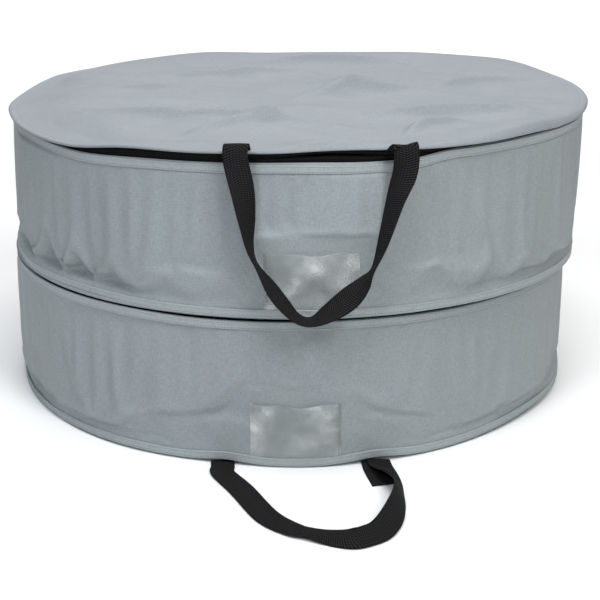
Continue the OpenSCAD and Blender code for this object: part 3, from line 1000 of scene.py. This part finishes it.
ON_FLOOR = (
    (-83, -328, 1.0, 0), (-82, -344, 1.1, 0), (-81, -360, 1.4, 0), (-60, -401, 2.2, -5), (-33, -459, 2.2, -5),
    (-8, -485, 2.0, 2), (9, -494, 3.4, 10), (28, -503, 2.8, -6), (49, -511, 5.8, -21), (64, -505, 5.8, -21),
    (78, -493, 6.4, -25), (90, -469, 9.8, -42), (98, -437, 12.2, -62), (98, -409, 12.2, -60),
    (93, -379, 8.4, -34), (85, -346, 3.4, -8), (83, -328, 2.2, -4),
)
FLOOR_TAIL = ((77, -328, 0.9, 0), (79, -350, 0.9, -2), (86, -386, 1.0, -4))
TUCKED = (
    (-81, 1.2), (-81, 45), (-80, 90), (-74, 125), (-58, 155), (-30, 169), (0, 172),
    (30, 169), (58, 155), (74, 125), (80, 90), (81, 45), (81, 1.2),
)
TUCKED_RINGS = 200
WEB_T = 1.3 * MM


def spline(points, count):
    """Catmull-Rom curve through the points, at count places evenly apart along it."""
    p = np.array(points, float)
    p = np.vstack((p[0], p, p[-1]))
    t = np.linspace(0, 1, 24, endpoint=False)[:, None]
    pieces = [
        (2 * b + (c - a) * t + (2 * a - 5 * b + 4 * c - d) * t**2 + (3 * b - a - 3 * c + d) * t**3) / 2
        for a, b, c, d in zip(p, p[1:], p[2:], p[3:])
    ]
    line = np.vstack((*pieces, p[-1]))
    run = np.concatenate(([0], np.cumsum(np.linalg.norm(np.diff(line[:, :3], axis=0), axis=1))))
    at = np.linspace(0, run[-1], count)
    return np.column_stack([np.interp(at, run, line[:, k]) for k in range(line.shape[1])]), run[-1]


def strap_along(name, bag, route, face, rings=260, cells=12, looped=False):
    """Webbing along a route whose unturned face looks along face."""
    line, length = spline(route, rings + 1)
    line[:, :3] *= MM
    length *= MM
    line[:, 0] += STRAP_X[bag]
    line[:, 2] += BASE_Z[bag]
    centre = line[:, :3]
    run = np.gradient(centre, axis=0)
    run /= np.linalg.norm(run, axis=1)[:, None]
    inner = np.cross(face, run)
    inner /= np.linalg.norm(inner, axis=1)[:, None]
    front = np.cross(run, inner)
    turn = np.radians(line[:, 3])[:, None]
    side = np.sin(turn) * front - np.cos(turn) * inner
    normal = np.cos(turn) * front + np.sin(turn) * inner
    if looped:
        hangs = np.flatnonzero(np.abs(run[:, 2]) > 0.9)
        middle = hangs[(hangs > rings // 16) & (hangs < rings - rings // 16)]
        for end, steady in ((slice(0, middle[0]), middle[0]), (slice(middle[-1] + 1, None), middle[-1])):
            lean = side[steady] - run[end] * (run[end] @ side[steady])[:, None]
            side[end] = lean / np.linalg.norm(lean, axis=1)[:, None]
            facing = np.sign(np.cross(side[steady], run[steady]) @ normal[steady])
            normal[end] = facing * np.cross(side[end], run[end])

    def place(u, v):
        ring = np.rint(v * rings).astype(int)
        off = (u - 0.5)[:, None] * STRAP_W
        cup = (0.35 * MM * (1 - (2 * u - 1) ** 2))[:, None]
        return centre[ring] + side[ring] * off + normal[ring] * cup

    piece = bent_grid(name, cells, rings, place, (STRAP_W, length))
    thicken(piece, WEB_T, 0)
    outward(piece)
    return dress(piece, "webbing")


def make_hanging_strap():
    """The loop at the upper lid's front edge, which bends where it leaves the lid."""
    piece = strap_along("upper_top_webbing", "upper", HANGING, (0, -1, 0), 400, looped=True)
    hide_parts("upper_top_strap")
    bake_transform(piece)


def make_floor_strap():
    strap = strap_along("loop", "lower", ON_FLOOR, (0, 0, 1))
    tail = strap_along("tail", "lower", FLOOR_TAIL, (0, 0, 1), 40)
    piece = join("lower_bottom_webbing", [strap, tail])
    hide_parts("lower_bottom_strap")
    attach(piece, "lower_bottom_strap")


def make_tucked_strap(bag, node, z, body):
    """A strap folded in flat between the two bags, its ends cut to the round seam."""
    line, length = spline(TUCKED, TUCKED_RINGS + 1)
    line, length = line * MM, length * MM
    run = np.gradient(line, axis=0)
    run /= np.linalg.norm(run, axis=1)[:, None]
    side = np.column_stack((run[:, 1], -run[:, 0]))
    edge_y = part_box(node)[0].y - 1.2 * MM

    def place(u, v):
        ring = np.rint(v * TUCKED_RINGS).astype(int)
        flat = line[ring] + side[ring] * ((u - 0.5)[:, None] * STRAP_W)
        x, y = flat[:, 0] + STRAP_X[bag], flat[:, 1] + edge_y
        seam = np.sqrt((WALL_R + 0.5 * MM) ** 2 - x**2)
        return np.column_stack((x, np.maximum(y, -seam), np.full_like(u, z)))

    piece = bent_grid(f"{node}_webbing", 12, TUCKED_RINGS, place, (STRAP_W, length))
    thicken(piece, WEB_T, 0)
    outward(piece)
    dress(piece, "webbing")
    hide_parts(node)
    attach(piece, body)


def make_strap_ends(bag):
    """The sewn ends: inside the wall's foot, and under the lid's edge."""
    for part, body, place_on in (("bottom", "bag", False), ("top", "lid", True)):
        node = f"{bag}_{part}_strap_ends"
        patches = []
        for side in (-1, 1):
            turn = math.asin((STRAP_X[bag] + side * 81 * MM) / WALL_R)

            def place(u, v):
                around = turn + (u - 0.5) * STRAP_W / WALL_R
                reach = 2 * MM + v * 25 * MM
                if place_on:
                    radius, height = WALL_R - 4 * MM - reach, np.full_like(u, LID_UNDER + 0.2 * MM)
                else:
                    radius, height = np.full_like(u, WALL_R - CLOTH_T - 0.2 * MM), reach
                return settle(bag, on_ring(around, radius, height + BASE_Z[bag]))

            patch = bent_grid("patch", 8, 8, place, (STRAP_W, 26 * MM))
            thicken(patch, WEB_T)
            outward(patch)
            patches.append(patch)
        piece = join(f"{node}_webbing", patches)
        dress(piece, "webbing")
        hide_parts(node)
        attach(piece, f"{bag}_{body}")


# --- studio ------------------------------------------------------------------------------------------


def make_studio():
    bpy.ops.object.select_all(action="DESELECT")
    bpy.ops.mesh.primitive_plane_add(size=14, location=(0, 0, -0.4 * MM))
    floor = bpy.context.object
    floor.name = "studio_floor"
    material, n, shader = base_material("studio_floor", 0.9)
    shader.inputs["Base Color"].default_value = (0.93, 0.93, 0.93, 1)
    floor.data.materials.append(material)
    world = bpy.data.worlds.new("studio") if not bpy.context.scene.world else bpy.context.scene.world
    bpy.context.scene.world = world
    world.use_nodes = True
    sky = world.node_tree.nodes["Background"]
    sky.inputs["Color"].default_value = (1, 1, 1, 1)
    sky.inputs["Strength"].default_value = 0.11
    for name, place, size, power, colour, aim in (
        ("right", (1.15, -2.0, 2.4), 0.9, 38, (1, 1, 1), (0, -0.1, 0.2)),
        ("above", (0.1, -0.9, 2.9), 1.2, 45, (1, 1, 1), (0, -0.1, 0.2)),
        ("backdrop", (0, 4.4, 3.2), 4.5, 210, (1, 1, 1), (0, 4.6, 0)),
        ("front", (0.5, -3.0, 1.3), 1.2, 5, (1, 0.995, 0.97), (0, 0, 0.2)),
        ("left", (-1.25, -2.0, 2.3), 0.9, 27, (0.84, 0.90, 1), (0, 0, 0.2)),
    ):
        lamp = bpy.data.lights.new(name, "AREA")
        lamp.energy = power
        lamp.size = size
        lamp.color = colour
        holder = bpy.data.objects.new(name, lamp)
        bpy.context.collection.objects.link(holder)
        holder.location = place
        holder.rotation_euler = aim_angles(np.array(aim) - np.array(place))
    bpy.context.scene.view_settings.view_transform = "Standard"


def aim_angles(toward):
    """Euler angles that point an object's -Z along a direction."""
    x, y, z = toward / np.linalg.norm(toward)
    return (math.acos(-z), 0, math.atan2(-x, y))


def make_camera():
    lens = bpy.data.cameras.new("camera")
    holder = bpy.data.objects.new("camera", lens)
    bpy.context.collection.objects.link(holder)
    lens.lens = 82.7
    lens.sensor_width = 36
    lens.clip_start = 0.05
    holder.location = (0.0025, -4.917 * WALL_R, 1.838 * WALL_R)
    holder.rotation_euler = (math.radians(90 - 18.26), 0, 0)
    bpy.context.scene.camera = holder


# --- build ---------------------------------------------------------------------------------------------

make_camera()
make_studio()
for bag_name in BAGS:
    make_base(bag_name)
    make_wall(bag_name)
    make_lid(bag_name)
    make_bindings(bag_name)
    make_stitches(bag_name)
    make_zip(bag_name)
    make_pocket(bag_name)
    make_strap_ends(bag_name)
    for part, look in (
        ("wall_seam_tape", "binding_tape"), ("zip_stops", "zip_metal"), ("zip_slider", "zip_metal"),
        ("zip_pull", "zip_metal"),
    ):
        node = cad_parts[f"{bag_name}_{part}"]
        node.data.materials.clear()
        node.data.materials.append(LOOK[look])
make_hanging_strap()
make_floor_strap()
make_tucked_strap("lower", "lower_top_strap", BAG_H + 1.2 * MM, "lower_top_strap")
make_tucked_strap("upper", "upper_bottom_strap", BASE_Z["upper"] - 1.2 * MM, "upper_bottom_strap")
